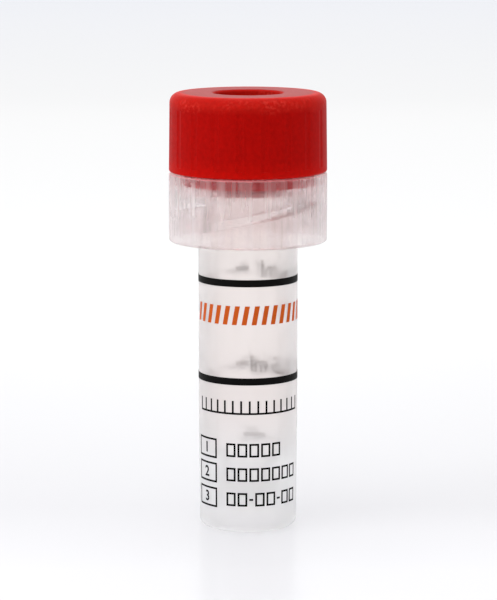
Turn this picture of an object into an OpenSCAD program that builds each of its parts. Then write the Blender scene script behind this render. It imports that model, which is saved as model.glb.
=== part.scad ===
// Capillary blood collection tube with a plug cap.
//
// Two mouldings. The tube is one translucent piece: a vessel with a conical
// bottom, the skirt it stands on, and a fluted collar that hangs from a web
// around its neck. The web is three helical cams, which lift the tube off its
// carrier when it is turned. The cap is one soft red piece: a
// shell with shallow grip grooves, a short skirt that sits inside the collar,
// and a hollow plug with a scored membrane. It pulls straight off.
//
// Millimetres, +Z up, front towards -Y. The origin is the centre of the foot,
// on the surface that the tube stands on.

/* [Tube] */
// Outside diameter of the tube
tube_od = 10; // [8:0.1:13]
// Wall of the vessel
tube_wall = 1; // [0.6:0.05:1.6]
// Length of plain tube, from the surface it stands on up to the collar
body_len = 29.2; // [20:0.1:60]
// Height of the mouth above the collar
neck_rise = 1.9; // [0.5:0.1:4]
// Round on the edges of the mouth
mouth_round = 0.3; // [0.1:0.05:0.4]

/* [Bottom of the tube] */
// Height of the vessel's rounded tip, inside, above the surface it stands on
tip_z = 2.15; // [1.5:0.05:8]
// Inside radius of the rounded tip
tip_r = 1.5; // [0.5:0.1:2.5]
// Angle between the cone's wall and the axis
cone_angle = 26; // [20:1:60]
// How much narrower the tube's outside is at the foot, on the radius
foot_taper = 0.1; // [0:0.05:0.5]
// Height that the outside tapers over
taper_h = 12; // [6:0.5:18]
// Wall of the skirt that the tube stands on
foot_wall = 1.4; // [0.8:0.1:2]
// Round on the outside edge of the foot
foot_round = 0.8; // [0.2:0.1:1.2]

/* [Collar] */
// Gap between the tube and the inside of the collar, which the carrier's rim enters
carrier_gap = 1.95; // [1.5:0.05:4]
// Wall of the collar
collar_wall = 1; // [0.6:0.05:1.6]
// Depth of the cup above the web's highest point, which the cap's skirt enters
cup_depth = 1.9; // [1:0.1:4]
// Round on the edges of the collar
collar_round = 0.2; // [0.05:0.05:0.3]
// Number of flutes around the collar
flutes = 72; // [24:1:90]
// Depth of a flute
flute_depth = 0.04; // [0.02:0.01:0.1]
// Width of a flute at the collar's surface
flute_width = 0.6; // [0.3:0.02:1]
// Where the first flute is, anticlockwise from the front
flute_start = -1.5; // [-7.5:0.5:7.5]
// Plain band that the flutes leave at the collar's edges
flute_land = 0.3; // [0.2:0.05:1]

/* [Cams] */
// Number of cams around the web
cams = 3; // [2:1:4]
// Height of the low end of a cam above the collar's bottom edge
cam_inset = 1.5; // [1:0.1:5]
// Rise of a cam from its low end to its high end
cam_rise = 2.6; // [0.5:0.1:3]
// Where the low end of the first cam is, anticlockwise from the front
cam_start = -39; // [-60:1:60]
// Height of the web's wall, from its underside to its top
web_wall = 0.9; // [0.6:0.1:2]
// Thickness of the step between the high end of a cam and the low end of the next
step_wall = 0.6; // [0.5:0.1:1.5]
// How far the tube thickens at the root of the web, on the radius
root_rise = 0.2; // [0.05:0.05:0.6]
// How far the thickening reaches below the low end of a cam
root_drop = 0.5; // [0.2:0.1:0.9]

/* [Cap] */
// How far the cap's rim stands out past the collar
cap_proud = 0; // [-0.3:0.05:0.5]
// Height of the cap above its rim
cap_h = 7.9; // [5:0.1:14]
// Draft of the cap's side, in degrees
cap_draft = 0.7; // [0:0.1:2]
// Round on the cap's top edge
cap_round = 1; // [0.3:0.1:2]
// Round on the cap's rim
rim_round = 0.2; // [0.05:0.05:0.4]
// Wall of the cap's shell
cap_wall = 1.3; // [0.8:0.1:2]
// Thickness of the cap's top
cap_top = 1.2; // [0.8:0.1:2.5]
// Round in the cap's inside corners
inner_round = 0.3; // [0.1:0.05:0.5]
// Gap between the cap's rim and the top of the collar
rim_gap = 0.1; // [0.05:0.05:0.5]

/* [Grip] */
// Number of grooves down the cap's side
grips = 20; // [8:1:28]
// Depth of a groove
grip_depth = 0.05; // [0.02:0.01:0.15]
// Width of a groove at the cap's surface
grip_width = 0.9; // [0.4:0.05:1.2]
// Plain band that the grooves leave above the rim and below the top's round
grip_land = 0.5; // [0.3:0.1:2]
// Where the first groove is, anticlockwise from the front
grip_start = -6; // [-20:1:20]

/* [Cap skirt] */
// Height of the thick ring above the rim that carries the skirt
ring_h = 1.2; // [0.6:0.1:3]
// Wall of the skirt
skirt_wall = 0.8; // [0.5:0.1:1.5]
// Radial gap between the skirt and the inside of the collar
skirt_gap = 0.25; // [0.1:0.05:0.6]
// Length of the skirt below the rim
skirt_len = 1.3; // [0.5:0.1:3]
// Least gap between the skirt's end and the web
skirt_end_gap = 0.2; // [0.1:0.05:0.6]

/* [Plug] */
// Radial clearance between the plug and the bore
plug_clear = 0.05; // [0.01:0.01:0.1]
// How far the plug reaches down into the mouth
plug_len = 4.1; // [2:0.1:8]
// Wall of the plug
plug_wall = 0.9; // [0.5:0.1:1.5]
// Round on the plug's end
plug_round = 0.4; // [0.1:0.05:0.5]
// Gap between the plug's shoulder and the mouth
seat_gap = 0.1; // [0.05:0.05:0.5]
// How far the shoulder stays inside the tube's outside
shoulder_inset = 0.2; // [0:0.05:0.5]

/* [Well] */
// Diameter of the well's mouth in the cap's top
well_d = 7; // [4:0.1:10]
// Round on the well's edge
well_round = 0.25; // [0.1:0.05:0.5]
// Thickness of the membrane
membrane = 0.6; // [0.3:0.1:1.2]
// Depth of the hollow under the membrane
membrane_recess = 1.1; // [0:0.1:3]
// Width of the cross scored into the membrane
score_w = 0.3; // [0.2:0.05:0.6]
// Depth of the score
score_depth = 0.25; // [0.1:0.05:0.5]
// Length of each arm of the cross, tip to tip
score_len = 4.4; // [2:0.1:6]

/* [Hidden] */

$fn = 128;
arc_fn = 48;      // small rounds
over = 0.1;       // how far a cutter runs past what it cuts

tube_r = tube_od / 2;
bore_r = tube_r - tube_wall;
foot_r = tube_r - foot_taper;
hollow_r = foot_r - foot_wall;
foot_fillet = min(foot_round, 0.6 * foot_wall);
taper_angle = atan(foot_taper / taper_h);
collar_in_r = tube_r + carrier_gap;
collar_r = collar_in_r + collar_wall;

cam_low = body_len + cam_inset;
cam_high = cam_low + cam_rise;
web_top = cam_high + web_wall;
root_top = web_top + root_rise / 2;         // clear of the web's own top
collar_top = web_top + cup_depth;
collar_h = collar_top - body_len;
mouth_z = collar_top + neck_rise;
cam_sweep = 360 / cams;
cam_steps = ceil(cam_sweep / 3);
web_in_r = tube_r - tube_wall / 4;         // the web reaches into both walls
web_out_r = collar_in_r + collar_wall / 4;

// Width of a groove, kept under nine tenths of the pitch of n grooves around r
function groove_w(w, n, r) = min(w, 0.9 * 2 * PI * r / n);

rim_z = collar_top + rim_gap;
cap_z = rim_z + cap_h;
cap_r = collar_r + cap_proud;
shell_r = cap_r - cap_wall;
skirt_r = collar_in_r - skirt_gap;
skirt_in_r = skirt_r - skirt_wall;
skirt_z = max(rim_z - skirt_len, web_top + skirt_end_gap);
seat_z = mouth_z + seat_gap;
plug_z = mouth_z - plug_len;
plug_r = bore_r - plug_clear;
plug_in_r = plug_r - plug_wall;
shoulder_r = tube_r - shoulder_inset;
membrane_z = plug_z + membrane_recess;

// The corner between a quarter round and its square corner at [x, z]. The round
// lies towards [sx, sz]. Cut from a profile it rounds an edge, and added to one
// it fills a corner.
module cove(x, z, r, sx, sz) {
    translate([x, z])
        difference() {
            translate([min(-over * sx, r * sx), min(-over * sz, r * sz)])
                square(r + over);
            translate([r * sx, r * sz])
                circle(r = r, $fn = arc_fn);
        }
}

// What cuts a shallow groove of length h into a wall that faces +X at the
// origin. Its floor is the arc that is w wide and d deep.
module groove(w, d, h) {
    r = (w * w / 4 + d * d) / (2 * d);
    linear_extrude(height = h)
        intersection() {
            translate([r - d, 0]) circle(r = r);
            translate([-d, -0.54 * w]) square([d + over, 1.08 * w]);
        }
}

// A rectangle from [x0, z0] to [x1, z1]
module box2(x0, z0, x1, z1) {
    translate([x0, z0])
        square([x1 - x0, z1 - z0]);
}

// What a cone with a rounded tip leaves above it: the tip is a circle of radius r
// about [0, z], and the wall runs up from it at cone_angle until it is out_r wide
module cone_profile(r, z, out_r, top) {
    foot = [r * cos(cone_angle), z - r * sin(cone_angle)];
    rim = foot[1] + (out_r - foot[0]) / tan(cone_angle);
    intersection() {
        union() {
            polygon([[0, foot[1]], foot, [out_r, rim], [out_r, top], [0, top]]);
            translate([0, z])
                circle(r = r, $fn = arc_fn);
        }
        box2(0, z - r - over, out_r, top);
    }
}

// --- tube -------------------------------------------------------------------

// Outline of the tube: a round foot, a tapered stretch and the plain barrel
module barrel_profile() {
    t = taper_angle;
    r = foot_fillet;
    foot_c = [foot_r - r * (1 - sin(t)) / cos(t), r];
    polygon([[0, 0], [foot_c[0], 0], foot_c + r * [cos(t), -sin(t)],
             [tube_r, taper_h], [tube_r, mouth_z], [0, mouth_z]]);
    translate(foot_c) circle(r = r, $fn = arc_fn);
}

// Section of the vessel and the skirt it stands on
module vessel_profile() {
    centre_z = tip_z + tip_r;
    difference() {
        barrel_profile();
        // bore, cone and tip
        cone_profile(tip_r, centre_z, bore_r, mouth_z + over);
        // hollow under the cone, inside the skirt
        difference() {
            box2(0, -over, hollow_r, centre_z + tube_r / tan(cone_angle));
            cone_profile(tip_r + tube_wall, centre_z, tube_r,
                         centre_z + 2 * tube_r / tan(cone_angle));
        }
        cove(tube_r, mouth_z, mouth_round, -1, -1);
        cove(bore_r, mouth_z, mouth_round, 1, -1);
    }
}

// Section of the collar's wall
module collar_profile() {
    difference() {
        box2(collar_in_r, body_len, collar_r, collar_top);
        cove(collar_r, body_len, collar_round, -1, 1);
        cove(collar_in_r, body_len, collar_round, 1, 1);
        cove(collar_r, collar_top, collar_round, -1, -1);
        cove(collar_in_r, collar_top, collar_round, 1, -1);
    }
}

module collar() {
    difference() {
        rotate_extrude() collar_profile();
        for (i = [0 : flutes - 1])
            rotate([0, 0, flute_start - 90 + i * 360 / flutes])
                translate([collar_r, 0, body_len + flute_land])
                    groove(groove_w(flute_width, flutes, collar_r), flute_depth,
                           collar_h - 2 * flute_land, $fn = 72);
    }
}

// One helical cam: a wall of even height that climbs from low to high between
// the neck and the collar
module cam() {
    n = cam_steps + 1;
    points = [for (i = [0 : cam_steps])
        let (a = cam_start - 90 + i * cam_sweep / cam_steps,
             z = cam_low + i * cam_rise / cam_steps)
        for (p = [[web_in_r, z], [web_out_r, z],
                  [web_out_r, z + web_wall], [web_in_r, z + web_wall]])
            [p[0] * cos(a), p[0] * sin(a), p[1]]];
    sides = [for (i = [0 : n - 2], k = [0 : 3])
        let (j = (k + 1) % 4)
        each [[4 * i + k, 4 * i + 4 + j, 4 * i + 4 + k], [4 * i + k, 4 * i + j, 4 * i + 4 + j]]];
    polyhedron(points = points,
               faces = concat([[3, 2, 1, 0]], sides, [[for (k = [0 : 3]) 4 * (n - 1) + k]]),
               convexity = 6);
}

// The upright wall that closes the web between the high end of a cam and the
// low end of the next. It stands on the low end, and reaches just below it.
module cam_step() {
    rotate([0, 0, cam_start - 90])
        translate([web_in_r, -over, cam_low - over / 2])
            cube([web_out_r - web_in_r, step_wall + over, web_top - cam_low]);
}

// The web between the neck and the collar, and the thickened root on the neck
module web() {
    for (i = [0 : cams - 1])
        rotate([0, 0, i * 360 / cams]) {
            cam();
            cam_step();
        }
    rotate_extrude()
        polygon([[web_in_r, cam_low - root_drop], [tube_r + root_rise, cam_low - root_drop],
                 [tube_r + root_rise, root_top], [tube_r, root_top + root_rise],
                 [web_in_r, root_top + root_rise]]);
}

module tube() {
    color([0.88, 0.84, 0.85]) {
        rotate_extrude() vessel_profile();
        collar();
        web();
    }
}

// --- cap --------------------------------------------------------------------

// Outline of the cap's shell above its rim: a drafted side between two rounds
module shell_profile() {
    d = cap_draft;
    top_c = [cap_r - ((cap_h - cap_round) * sin(d) + cap_round) / cos(d), cap_h - cap_round];
    rim_c = [cap_r - rim_round * (1 + sin(d)) / cos(d), rim_round];
    translate([0, rim_z]) {
        polygon([[0, 0], [rim_c[0], 0],
                 rim_c + rim_round * [cos(d), sin(d)],
                 top_c + cap_round * [cos(d), sin(d)],
                 [top_c[0], cap_h], [0, cap_h]]);
        translate(rim_c) circle(r = rim_round, $fn = arc_fn);
        translate(top_c) circle(r = cap_round, $fn = arc_fn);
    }
}

module cap_profile() {
    difference() {
        union() {
            shell_profile();
            box2(skirt_in_r, skirt_z, skirt_r, rim_z + ring_h);
        }
        // inside of the shell above the thick ring, and of the ring and the skirt
        difference() {
            union() {
                box2(0, rim_z + ring_h, shell_r, cap_z - cap_top);
                box2(0, skirt_z - over, skirt_in_r, rim_z + ring_h + over);
            }
            cove(shell_r, cap_z - cap_top, inner_round, -1, -1);
            cove(shell_r, rim_z + ring_h, inner_round, -1, 1);
        }
        cove(skirt_r, skirt_z, skirt_wall / 4, -1, 1);
        cove(skirt_in_r, skirt_z, skirt_wall / 4, 1, 1);
    }
    // hub that hangs from the top, down to the shoulder over the mouth
    difference() {
        box2(0, seat_z, shoulder_r, cap_z - over);
        cove(shoulder_r, seat_z, mouth_round, -1, 1);
    }
    cove(shoulder_r, cap_z - cap_top, inner_round, 1, -1);
    // plug
    difference() {
        box2(0, plug_z, plug_r, seat_z + over);
        cove(plug_r, plug_z, plug_round, -1, 1);
        cove(plug_in_r, plug_z, plug_wall / 4, 1, 1);
    }
}

// Section of the well, from the membrane up, and of the hollow under the membrane
module well_profile() {
    well_r = well_d / 2;
    polygon([[0, membrane_z + membrane], [plug_in_r, membrane_z + membrane],
             [plug_in_r, seat_z], [well_r, cap_z - cap_top], [well_r, cap_z + over],
             [0, cap_z + over]]);
    cove(well_r, cap_z, well_round, 1, -1);
    box2(0, plug_z - over, plug_in_r, membrane_z);
}

// The grooves follow the cap's draft, and their arcs are square to its side
module grips() {
    foot = rim_round + grip_land;
    length = cap_h - cap_round - grip_land - foot;
    for (i = [0 : grips - 1])
        rotate([0, 0, grip_start - 90 + i * 360 / grips])
            translate([cap_r - foot * tan(cap_draft), 0, rim_z + foot])
                rotate([0, -cap_draft, 0])
                    groove(groove_w(grip_width, grips, cap_r), grip_depth, length);
}

module score() {
    for (a = [45, 135])
        rotate([0, 0, a])
            translate([-score_len / 2, -score_w / 2, membrane_z + membrane - score_depth])
                cube([score_len, score_w, score_depth + over]);
}

module cap() {
    color([0.67, 0.05, 0.03])
        difference() {
            rotate_extrude()
                difference() {
                    cap_profile();
                    well_profile();
                }
            grips();
            score();
        }
}

tube();
cap();
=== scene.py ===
import bpy, bmesh, math
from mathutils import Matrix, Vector


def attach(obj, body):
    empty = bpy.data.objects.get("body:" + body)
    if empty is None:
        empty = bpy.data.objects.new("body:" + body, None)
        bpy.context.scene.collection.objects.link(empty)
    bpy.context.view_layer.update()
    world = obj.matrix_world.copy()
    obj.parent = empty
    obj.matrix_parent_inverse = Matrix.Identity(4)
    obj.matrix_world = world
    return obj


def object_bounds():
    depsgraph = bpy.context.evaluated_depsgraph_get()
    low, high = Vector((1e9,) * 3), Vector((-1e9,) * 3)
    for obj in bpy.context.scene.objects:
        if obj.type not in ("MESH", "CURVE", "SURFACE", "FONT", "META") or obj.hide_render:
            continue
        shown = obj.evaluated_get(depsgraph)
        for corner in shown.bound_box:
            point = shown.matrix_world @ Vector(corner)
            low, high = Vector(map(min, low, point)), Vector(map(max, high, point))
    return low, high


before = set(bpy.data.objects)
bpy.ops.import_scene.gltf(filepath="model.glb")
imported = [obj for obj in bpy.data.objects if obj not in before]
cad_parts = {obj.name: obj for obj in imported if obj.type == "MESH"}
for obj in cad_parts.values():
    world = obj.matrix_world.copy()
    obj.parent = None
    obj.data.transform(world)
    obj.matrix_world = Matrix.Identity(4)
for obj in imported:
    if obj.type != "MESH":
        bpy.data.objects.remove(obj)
cad_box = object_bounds()

MM = 0.001

# What the looks and the print follow, in mm. The crown and the collar's radius come from
# the frame. The rim and the collar's heights are measured down from the crown, and the
# barrel's values repeat the model's.
CROWN = cad_box[1][2] / MM             # the cap's flat top
COLLAR_R = cad_box[1][0] / MM
RIM = CROWN - 7.9                      # the cap's lower edge
COLLAR_TOP = RIM - 0.1
LIP = COLLAR_TOP - 0.1                 # where the round of the collar's top edge starts
COLLAR_LOW = COLLAR_TOP - 6.9
TUBE_R = 5.0                           # the barrel's radius above the taper
FOOT_R = 4.9                           # the radius that the taper runs down to
TAPER_H = 12.0                         # height that the taper starts down from
BUMP = 0.03                            # the most that a bump map raises a surface

scene = bpy.context.scene
scene.view_settings.view_transform = "Standard"
scene.cycles.max_bounces = 24
scene.cycles.transmission_bounces = 24
scene.cycles.glossy_bounces = 8

# ---------------------------------------------------------------- materials and nodes


def plastic(name, **constants):
    """A new material, with constants set on the shader's own sockets."""
    m = bpy.data.materials.new(name)
    m.use_nodes = True
    b = m.node_tree.nodes["Principled BSDF"]
    for socket, value in constants.items():
        b.inputs[socket.replace("_", " ")].default_value = value
    return m, m.node_tree, b


def put(node_name, material):
    """Give a CAD object its material."""
    obj = bpy.data.objects[node_name]
    for s in obj.material_slots:
        s.material = material
    if not obj.material_slots:
        obj.data.materials.append(material)


def feed(shader, **sockets):
    """Link nodes' outputs to the shader's sockets."""
    for socket, output in sockets.items():
        shader.id_data.links.new(output, shader.inputs[socket.replace("_", " ")])


def node(nt, kind, sockets=None, **props):
    """Add a shader node. A socket in sockets is linked, and any other value is set."""
    n = nt.nodes.new("ShaderNode" + kind)
    for name, value in props.items():
        setattr(n, name, value)
    for name, value in (sockets or {}).items():
        if isinstance(value, bpy.types.NodeSocket):
            nt.links.new(value, n.inputs[name])
        else:
            n.inputs[name].default_value = value
    return n


def between(nt, value, low, high, start=0.0, end=1.0):
    """start where value is at low, end where it is at high, and steady past both."""
    return node(nt, "MapRange", {"Value": value, "From Min": low, "From Max": high,
                                 "To Min": start, "To Max": end}).outputs["Result"]


def joined(nt, operation, first, *rest):
    """first, joined with each of the rest in turn by a Math operation."""
    for value in rest:
        first = node(nt, "Math", {0: first, 1: value}, operation=operation).outputs[0]
    return first


def times(nt, *factors):
    """The product of factors."""
    return joined(nt, "MULTIPLY", *factors)


def plus(nt, *terms):
    """The sum of terms."""
    return joined(nt, "ADD", *terms)


def graded(nt, value, stops):
    """Colour along stops of (value, colour), and steady past both ends."""
    first, last = stops[0][0], stops[-1][0]
    n = node(nt, "ValToRGB", {"Fac": between(nt, value, first, last)})
    els = n.color_ramp.elements
    while len(els) < len(stops):
        els.new(0.5)
    for el, (place, colour) in zip(els, stops):
        el.position = (place - first) / (last - first)
        el.color = colour
    return n.outputs["Color"]


def mixed(nt, share, first, second, how="MIX"):
    """The first colour, with a share of the second mixed in."""
    return node(nt, "MixRGB", {"Fac": share, "Color1": first, "Color2": second},
                blend_type=how).outputs["Color"]


def grain(nt, fineness, detail=2.0, upright=1.0):
    """Noise fixed to the object. fineness is in cycles a mm, and upright multiplies it up the height."""
    at = node(nt, "Mapping", {"Vector": node(nt, "TexCoord").outputs["Object"], "Scale": (1, 1, upright)})
    return node(nt, "TexNoise", {"Vector": at.outputs[0], "Scale": fineness / MM,
                                 "Detail": detail}).outputs["Fac"]


def round_the_axis(nt):
    """Distance from the axis, and height, of the point on the object, in mm."""
    at = node(nt, "SeparateXYZ", {0: node(nt, "TexCoord").outputs["Object"]})
    flat = node(nt, "CombineXYZ", {"X": at.outputs["X"], "Y": at.outputs["Y"]})
    away = node(nt, "VectorMath", {0: flat.outputs[0]}, operation="LENGTH")
    return times(nt, away.outputs["Value"], 1 / MM), times(nt, at.outputs["Z"], 1 / MM)


def bumped(nt, height, strength):
    """The surface's direction, with height raising it."""
    return node(nt, "Bump", {"Height": height, "Strength": strength,
                             "Distance": BUMP * MM}).outputs["Normal"]


def looks_white(nt):
    """1 for the rays that should meet the white background, 0 for the rays that light the object."""
    lp = node(nt, "LightPath")
    return joined(nt, "MAXIMUM", lp.outputs["Is Camera Ray"], lp.outputs["Is Glossy Ray"],
                  lp.outputs["Is Transmission Ray"])


# ---------------------------------------------------------------- camera

EYE = (0.00005, -0.288, 0.06873)
LOOK_DOWN = math.radians(9.01)
VIEW_ANGLE = math.radians(11.88)         # from the picture's bottom to its top

cam_data = bpy.data.cameras.new("camera")
cam = bpy.data.objects.new("camera", cam_data)
scene.collection.objects.link(cam)
cam_data.sensor_fit = "VERTICAL"
cam_data.angle = VIEW_ANGLE
cam_data.clip_start = 0.01
cam_data.clip_end = 20
cam.location = EYE
cam.rotation_euler = (math.pi / 2 - LOOK_DOWN, 0, 0)
scene.camera = cam

# ---------------------------------------------------------------- light

AMBIENT = 0.72                     # how bright the world is as a light, next to how white it looks
ROOM_FRONT = 0.3                   # how bright gloss finds the room in front of the object
ROOM_TURN = (-0.6, 0.3)            # directions along Y between which the room turns bright
MIDDLE = Vector((0, 0, 0.03))      # what the lamps point at

world = bpy.data.worlds.new("world")
scene.world = world
world.use_nodes = True
wn = world.node_tree
steady = between(wn, looks_white(wn), 0, 1, AMBIENT, 1)
# gloss meets a room that is dimmer in front of the object than behind it
towards = node(wn, "SeparateXYZ", {0: node(wn, "TexCoord").outputs["Generated"]})
room = between(wn, towards.outputs["Y"], ROOM_TURN[0], ROOM_TURN[1], ROOM_FRONT, 1)
background = wn.nodes["Background"]
background.inputs["Color"].default_value = (1, 1, 1, 1)
feed(background, Strength=between(wn, node(wn, "LightPath").outputs["Is Glossy Ray"], 0, 1, steady, room))


def lamp(name, place, size, power):
    """A round soft lamp that points at the middle of the object."""
    light = bpy.data.lights.new(name, "AREA")
    light.energy = power
    light.shape = "DISK"
    light.size = size
    o = bpy.data.objects.new(name, light)
    scene.collection.objects.link(o)
    o.location = place
    o.rotation_euler = (MIDDLE - Vector(place)).to_track_quat("-Z", "Y").to_euler()


lamp("key_left", (-0.34, -0.16, 0.24), 0.30, 0.56)
lamp("fill_right", (0.34, -0.20, 0.16), 0.30, 0.12)
lamp("top", (0, 0.10, 0.38), 0.30, 0.36)
lamp("back", (0, 0.42, 0.20), 0.30, 0.07)
lamp("top_front", (-0.07, -0.13, 0.37), 0.20, 0.24)

# ---------------------------------------------------------------- floor

FLOOR_HALF = 2                           # metres
PAPER = (0.925, 0.935, 0.955, 1)
SELF_LIT = 0.5                           # share of the paper's look that shadows can't darken
PAPER_NEAR = (0.84, 0.83, 0.87, 1)       # painted shade in front of the object
PAPER_SHADE = (0.68, 0.67, 0.71, 1)      # where the object stands
PAPER_WHITE = (1, 1, 1, 1)               # the lit middle of the sweep
PAPER_FAR = (0.90, 0.92, 1.0, 1)         # the sweep's far end
# metres from the object, away from the camera. The darker stops near the object are painted shade.
SWEEP = ((-0.16, PAPER_WHITE), (-0.035, PAPER_NEAR), (-0.02, PAPER_NEAR), (0.006, PAPER_SHADE),
         (0.14, PAPER_WHITE), (0.45, PAPER_WHITE), (1.0, PAPER_FAR))

sheet = bpy.data.meshes.new("floor")
corners = [(x * FLOOR_HALF, y * FLOOR_HALF, 0) for x, y in ((-1, -1), (1, -1), (1, 1), (-1, 1))]
sheet.from_pydata(corners, [], [(0, 1, 2, 3)])
floor = bpy.data.objects.new("floor", sheet)
scene.collection.objects.link(floor)
paper, nt, b = plastic("paper_white", Base_Color=PAPER, Roughness=0.22, Specular_IOR_Level=0.7)
place = node(nt, "SeparateXYZ", {0: node(nt, "NewGeometry").outputs["Position"]})
glow = node(nt, "Emission", {"Color": graded(nt, place.outputs["Y"], SWEEP)})
mix = node(nt, "MixShader", {0: times(nt, looks_white(nt), SELF_LIT), 1: b.outputs[0], 2: glow.outputs[0]})
feed(nt.nodes["Material Output"], Surface=mix.outputs[0])
sheet.materials.append(paper)

# ---------------------------------------------------------------- tube
# Milky moulding: clear in the foot and warm in the barrel. The collar's pink is painted
# light, the red glow that it gathers from the cap, pinkest at its top edge where it is a painted
# highlight.

CLEAR = (0.995, 0.985, 0.985, 1)
WARM = (0.925, 0.86, 0.84, 1)
# painted light: the next two pinks are the red glow that the collar gathers from the cap
PAINTED_PINK_GLOW = (0.905, 0.79, 0.79, 1)
PAINTED_ROSE_GLOW = (0.90, 0.675, 0.68, 1)
# painted highlight on the collar's top edge
PAINTED_LIP_HIGHLIGHT = (0.98, 0.36, 0.38, 1)
EDGE_ON = (0.77, 0.61, 0.63, 1)          # multiplies the colour where the wall turns away
BARREL = ((TAPER_H / 2, CLEAR), (TAPER_H, WARM))
# the collar's painted glow from the cap, deepening upwards to the painted highlight on its top edge
COLLAR_PAINTED_GLOW = ((COLLAR_TOP - 2.3, PAINTED_PINK_GLOW), (COLLAR_TOP - 1.3, PAINTED_ROSE_GLOW), (LIP - 0.1, PAINTED_ROSE_GLOW), (LIP, PAINTED_LIP_HIGHLIGHT))

NECK_END = TUBE_R + 0.6                  # radius where the barrel's look ends
COLLAR_START = COLLAR_R - 1.35           # radius where the collar's look starts
FOOT_START = 5.0                         # height where the foot's look starts to fade
EDGES_START = 8.0                        # height where the wall starts to darken as it turns away
FOOT_END = 16.0                          # height where both are over
TURNED = (0.25, 0.8)                     # facing between which the wall turns away
BARREL_EDGE = 0.3                        # how much the barrel darkens there, next to the collar

BARREL_HAZE = (0.26, 0.32)               # roughness, least and most
COLLAR_HAZE = (0.12, 0.20)
STREAK_HAZE = 0.21                       # what the streaks add at the collar's top
STREAKS = (0.35, 0.65)                   # noise between which a streak comes in
FLOW_LINES = (0.38, 0.68)                # noise between which a flow line comes in
FOOT_CLEAR, REST_CLEAR = 0.80, 0.95      # clearness between the flow lines
BARREL_MILKY, COLLAR_MILKY = 0.82, 0.62  # clearness in the flow lines
LIP_CLEARNESS = 0.2                      # share of its clearness that the collar's top edge keeps, so that its painted highlight shows
BARREL_RIPPLE, COLLAR_RIPPLE = 0.15, 1   # strength of the ripples

m_tube, nt, b = plastic("tube_plastic", IOR=1.30, Alpha=0.55)
radius, height = round_the_axis(nt)
in_collar = between(nt, radius, NECK_END, COLLAR_START)
# the barrel's own tone, and in the collar the painted glow from the cap
tint_and_cap_glow = mixed(nt, in_collar, graded(nt, height, BARREL), graded(nt, height, COLLAR_PAINTED_GLOW))

# the outer wall is seen through its length, and so a little darker, where it turns away
facing = node(nt, "LayerWeight", {"Blend": 0.5}).outputs["Facing"]
outer = plus(nt, between(nt, radius, TUBE_R, TUBE_R + 0.4, BARREL_EDGE, 0),
             between(nt, radius, COLLAR_R - 0.85, COLLAR_R - 0.25))
turned = times(nt, between(nt, facing, *TURNED), between(nt, height, EDGES_START, FOOT_END), outer)
feed(b, Base_Color=mixed(nt, turned, tint_and_cap_glow, EDGE_ON, "MULTIPLY"))

# the barrel and foot blur what is behind them, and the collar does so in streaks
streaks = grain(nt, 1.5, upright=0.03)
least, most = (between(nt, height, COLLAR_LOW - 0.6, COLLAR_LOW, barrel, collar)
               for barrel, collar in zip(BARREL_HAZE, COLLAR_HAZE))
haze = between(nt, grain(nt, 0.6, upright=0.12), 0, 1, least, most)
clouded = times(nt, in_collar, between(nt, height, COLLAR_LOW - 1.2, LIP),
                between(nt, streaks, *STREAKS))
feed(b, Roughness=plus(nt, haze, times(nt, clouded, STREAK_HAZE)))

# flow lines down the barrel and collar are milkier than the rest, and fade out in the foot
clearest = between(nt, height, FOOT_START, FOOT_END, FOOT_CLEAR, REST_CLEAR)
milkiest = between(nt, in_collar, 0, 1, BARREL_MILKY, COLLAR_MILKY)
flow = between(nt, streaks, *FLOW_LINES, clearest, milkiest)
# the collar's top edge lets less through, so that its painted highlight shows
lip_highlight_mask = times(nt, in_collar, between(nt, height, LIP - 0.1, LIP))
feed(b, Transmission_Weight=times(nt, flow, between(nt, lip_highlight_mask, 0, 1, 1, LIP_CLEARNESS)))

ripples = grain(nt, 1.3, 1, upright=0.04)
feed(b, Normal=bumped(nt, ripples, between(nt, in_collar, 0, 1, BARREL_RIPPLE, COLLAR_RIPPLE)))
put("tube", m_tube)

# ---------------------------------------------------------------- cap
# Soft red moulding with a fine matt grain. Its thin skirt and plug, and its rim, are painted lighter for
# light that fills them. The round of its top has a painted highlight with painted glints, its flat top
# is painted darker as painted shade, and the flat top shines only at a low angle.

SKIRT_GLOW_RED = (0.52, 0.006, 0.012, 1)       # the skirt and plug, painted lighter for the light that fills them
RIM_LIT_RED = (0.50, 0.003, 0.001, 1)        # the rim, painted lighter than the side: painted light
SIDE_RED = (0.395, 0.002, 0.001, 1)
# the next two are a painted highlight on the round of the top, brightest at its crest
ROUND_HIGHLIGHT_RED = (0.48, 0.009, 0.005, 1)
CREST_HIGHLIGHT_RED = (0.58, 0.016, 0.012, 1)
# painted shade: the flat top is painted darker than the side
TOP_SHADED_RED = (0.33, 0.004, 0.005, 1)
# painted glints on the round of the top
GLINT_RED = (0.56, 0.026, 0.018, 1)
# lit and shaded copies of the one red up the cap's height: painted light and shade
REDS_WITH_PAINTED_LIGHT = ((RIM - 0.1, SKIRT_GLOW_RED), (RIM, RIM_LIT_RED), (RIM + 1.8, SIDE_RED), (CROWN - 1.6, SIDE_RED),
        (CROWN - 0.8, ROUND_HIGHLIGHT_RED), (CROWN - 0.12, ROUND_HIGHLIGHT_RED), (CROWN - 0.04, CREST_HIGHLIGHT_RED))
MOTTLE = ((0.3, (0.88, 0.88, 0.88, 1)), (0.7, (1.08, 1.08, 1.08, 1)))     # multiplies the red
GLINT_FLECKS = (0.46, 0.64)                    # noise between which a painted glint comes in
GLINT_PATCHES = (0.42, 0.6)              # coarse noise between which the painted glints gather
CAP_ROUGHNESS = (0.42, 0.6)
TOP_COAT = 0.2                           # clear coat on the flat top

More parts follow.
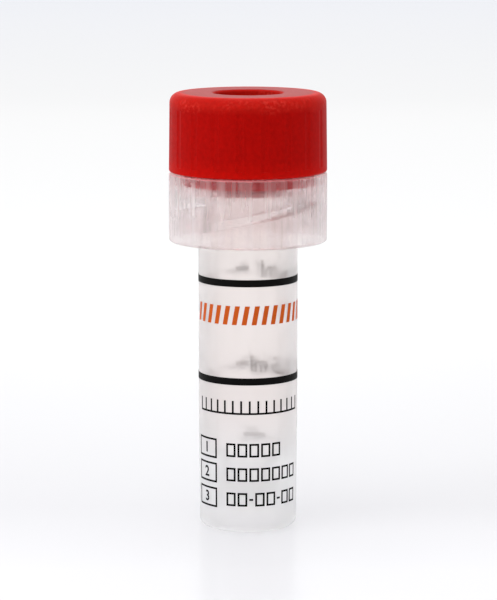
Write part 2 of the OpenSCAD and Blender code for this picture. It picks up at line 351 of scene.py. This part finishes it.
m_cap, nt, b = plastic("cap_plastic", Specular_IOR_Level=0.03, Sheen_Weight=0.05, Sheen_Roughness=0.3,
                       Subsurface_Weight=0.3, Subsurface_Radius=(1, 0.06, 0.04),
                       Subsurface_Scale=1.0 * MM, Coat_Roughness=0.35)
radius, height = round_the_axis(nt)
on_top = times(nt, between(nt, radius, COLLAR_R - 1.05, COLLAR_R - 1.65),
               between(nt, height, CROWN - 0.1, CROWN - 0.03))
on_round = times(nt, between(nt, height, CROWN - 1.8, CROWN - 0.9),
                 between(nt, height, CROWN - 0.1, CROWN - 0.3))
# painted glints, scattered over the round of the top
glint = times(nt, on_round, between(nt, grain(nt, 3), *GLINT_FLECKS),
              between(nt, grain(nt, 0.33, 1), *GLINT_PATCHES))
side = mixed(nt, glint, graded(nt, height, REDS_WITH_PAINTED_LIGHT), GLINT_RED)
red = mixed(nt, on_top, side, TOP_SHADED_RED)
feed(b, Base_Color=mixed(nt, 1.0, red, graded(nt, grain(nt, 2.6, 4), MOTTLE), "MULTIPLY"),
     Coat_Weight=times(nt, on_top, TOP_COAT),
     Roughness=between(nt, grain(nt, 3.5), 0, 1, *CAP_ROUGHNESS),
     Normal=bumped(nt, grain(nt, 6.5, 3), 0.35))
put("cap", m_cap)

# ---------------------------------------------------------------- inks

INK_ROUGHNESS = (0.4, 0.6)


def ink(name, dark, light):
    """Screen-printed ink: matt, a little thinner in places."""
    m, nt, b = plastic(name, Specular_IOR_Level=0.05)
    feed(b, Base_Color=graded(nt, grain(nt, 4, 3), ((0, dark), (1, light))),
         Roughness=between(nt, grain(nt, 3), 0, 1, *INK_ROUGHNESS))
    return m


black = ink("ink_black", (0.0025, 0.0025, 0.0025, 1), (0.0055, 0.005, 0.0045, 1))
orange = ink("ink_orange", (0.50, 0.075, 0.008, 1), (0.60, 0.11, 0.015, 1))

# ---------------------------------------------------------------- print
# Drawn flat and then wrapped: x is mm round the barrel from the front, anticlockwise
# seen from above, and y is mm above the foot.

INK_LIFT = 0.012     # mm, from the tube to the ink's back
INK_THICK = 0.010    # mm
FACET = 0.3          # mm, the longest flat stretch round the barrel


def wall_r(z):
    """Radius of the tube's outside at height z, in mm. The foot's own round is left out."""
    return TUBE_R if z >= TAPER_H else FOOT_R + (TUBE_R - FOOT_R) * z / TAPER_H


def arc(degrees):
    """Length round the barrel, in mm."""
    return math.radians(degrees) * TUBE_R


def bar(bm, x0, x1, y0, y1, lean=0.0):
    """A field of ink. lean moves its top edge along x."""
    bm.faces.new([bm.verts.new((x, y, 0)) for x, y in
                  ((x0, y0), (x1, y0), (x1 + lean, y1), (x0 + lean, y1))])


def outline(bm, x0, x1, y0, y1, w):
    """A rectangle drawn with a line of width w."""
    bar(bm, x0, x1, y0, y0 + w)
    bar(bm, x0, x1, y1 - w, y1)
    bar(bm, x0, x0 + w, y0 + w, y1 - w)
    bar(bm, x1 - w, x1, y0 + w, y1 - w)


def comb(bm, x0, x1, y0, y1, count, w):
    """A write-in line with an upright tick between its places."""
    bar(bm, x0, x1, y0, y0 + w)
    for i in range(count + 1):
        x = x0 + (x1 - x0 - w) * i / count
        bar(bm, x, x + w, y0 + w, y1)


def cells(bm, x0, y0, y1, groups, w):
    """Write-in cells in groups, with a dash between one group and the next."""
    x = x0
    for i, count in enumerate(groups):
        if i:
            bar(bm, x, x + DASH, (y0 + y1 - w) / 2, (y0 + y1 + w) / 2)
            x += DASH + CELL_GAP
        for _ in range(count):
            outline(bm, x, x + CELL, y0, y1, w)
            x += CELL + CELL_GAP


def letters(bm, text, x, y, size, weight, anchor=0.5, narrow=1.0):
    """Plain text on the line y. An anchor of 0, 0.5 or 1 puts its left end, middle or right end at x.

    weight thickens the strokes, and narrow squeezes the text along the line.
    """
    curve = bpy.data.curves.new("text", "FONT")
    curve.body = text
    curve.size = size
    curve.offset = weight
    curve.resolution_u = 4
    o = bpy.data.objects.new("text", curve)
    me = bpy.data.meshes.new_from_object(o)
    xs = [v.co.x for v in me.vertices]
    origin = min(xs) + (max(xs) - min(xs)) * anchor
    for v in me.vertices:
        v.co = (x + (v.co.x - origin) * narrow, v.co.y + y, 0)
    bm.from_mesh(me)
    bpy.data.objects.remove(o)
    bpy.data.meshes.remove(me)


def wrap(name, bm, material):
    """Lay flat fields of ink on the barrel as one thin piece that rides the tube."""
    xs = [v.co.x for v in bm.verts]
    for i in range(math.ceil(min(xs) / FACET), math.floor(max(xs) / FACET) + 1):
        bmesh.ops.bisect_plane(bm, geom=bm.verts[:] + bm.edges[:] + bm.faces[:],
                               plane_co=(i * FACET, 0, 0), plane_no=(1, 0, 0))
    bmesh.ops.recalc_face_normals(bm, faces=bm.faces)
    for f in bm.faces:
        if f.normal.z < 0:
            f.normal_flip()
    fronts = bmesh.ops.extrude_face_region(bm, geom=bm.faces[:])["geom"]
    for v in fronts:
        if isinstance(v, bmesh.types.BMVert):
            v.co.z = INK_THICK
    for v in bm.verts:
        x, y, up = v.co
        r = (wall_r(y) + INK_LIFT + up) * MM
        v.co = (r * math.sin(x / TUBE_R), -r * math.cos(x / TUBE_R), y * MM)
    bmesh.ops.recalc_face_normals(bm, faces=bm.faces)
    me = bpy.data.meshes.new(name)
    bm.to_mesh(me)
    bm.free()
    me.materials.append(material)
    o = bpy.data.objects.new(name, me)
    scene.collection.objects.link(o)
    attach(o, "tube")


LINE = 0.20          # mm, width of the thin lines

# the two fill lines
BAND_HALF = arc(102)
BAND_TALL = 0.72
for name, low in (("band_upper", 25.12), ("band_lower", 15.2)):
    bm = bmesh.new()
    bar(bm, -BAND_HALF, BAND_HALF, low, low + BAND_TALL)
    wrap(name, bm, black)

# a row of slanted bars between the fill lines
BARS = 15
BARS_FROM, BARS_TO = -76, 84             # degrees, at the first and the last bar
BAR_WIDE = 0.5
BAR_LOW, BAR_HIGH = 21.3, 23.2
BAR_LEAN = 0.35
bm = bmesh.new()
for i in range(BARS):
    x = arc(BARS_FROM) + arc(BARS_TO - BARS_FROM) * i / (BARS - 1)
    bar(bm, x, x + BAR_WIDE, BAR_LOW, BAR_HIGH, BAR_LEAN)
wrap("colour_bars", bm, orange)

# a long write-in line under the lower fill line
NAME_FROM, NAME_TO = -68, 72             # degrees
NAME_LOW, NAME_HIGH = 12.2, 13.6
NAME_PLACES = 14
bm = bmesh.new()
comb(bm, arc(NAME_FROM), arc(NAME_TO), NAME_LOW, NAME_HIGH, NAME_PLACES, LINE)
wrap("name_line", bm, black)

# three numbered boxes, each with cells to write in
ROWS = (("1", 8.55, (5,)), ("2", 6.05, (7,)), ("3", 3.5, (2, 2, 2)))     # number, middle, cells
BOX_FROM, BOX_TO = -73, -39              # degrees
BOX_HALF = 1.02                          # half its height
NUMBER_SIZE = 1.5
CELLS_FROM = -26                         # degrees
CELL = 1.00                              # width of a cell
CELL_HALF = 0.70                         # half its height
CELL_GAP = 0.20
DASH = 0.40                              # length of the dash between groups
for number, mid, groups in ROWS:
    bm = bmesh.new()
    outline(bm, arc(BOX_FROM), arc(BOX_TO), mid - BOX_HALF, mid + BOX_HALF, LINE)
    letters(bm, number, arc((BOX_FROM + BOX_TO) / 2), mid - NUMBER_SIZE / 3, NUMBER_SIZE, weight=0.03)
    cells(bm, arc(CELLS_FROM), mid - CELL_HALF, mid + CELL_HALF, groups, LINE)
    wrap("entry_" + number, bm, black)

# the volume scale on the back, read from behind
MARK_FROM, MARK_TO = 179, 195            # degrees
MARK_HALF = 0.25                         # half the width of a mark
SCALE_SIZE = 2.4
SCALE_DROP = 0.85                        # from a mark's middle down to its text's line
for name, text, mid, end in (("scale_1_ml", "1 ml", 25.6, 164), ("scale_half_ml", "0.5 ml", 15.7, 177)):
    bm = bmesh.new()
    letters(bm, text, arc(end), mid - SCALE_DROP, SCALE_SIZE, weight=0.08, anchor=1, narrow=0.82)
    bar(bm, arc(MARK_FROM), arc(MARK_TO), mid - MARK_HALF, mid + MARK_HALF)
    wrap(name, bm, black)

# a short plain line low on the back
LOW_MARK = 8.2
LOW_FROM, LOW_TO = 158, 186              # degrees
bm = bmesh.new()
bar(bm, arc(LOW_FROM), arc(LOW_TO), LOW_MARK - MARK_HALF, LOW_MARK + MARK_HALF)
wrap("scale_low", bm, black)
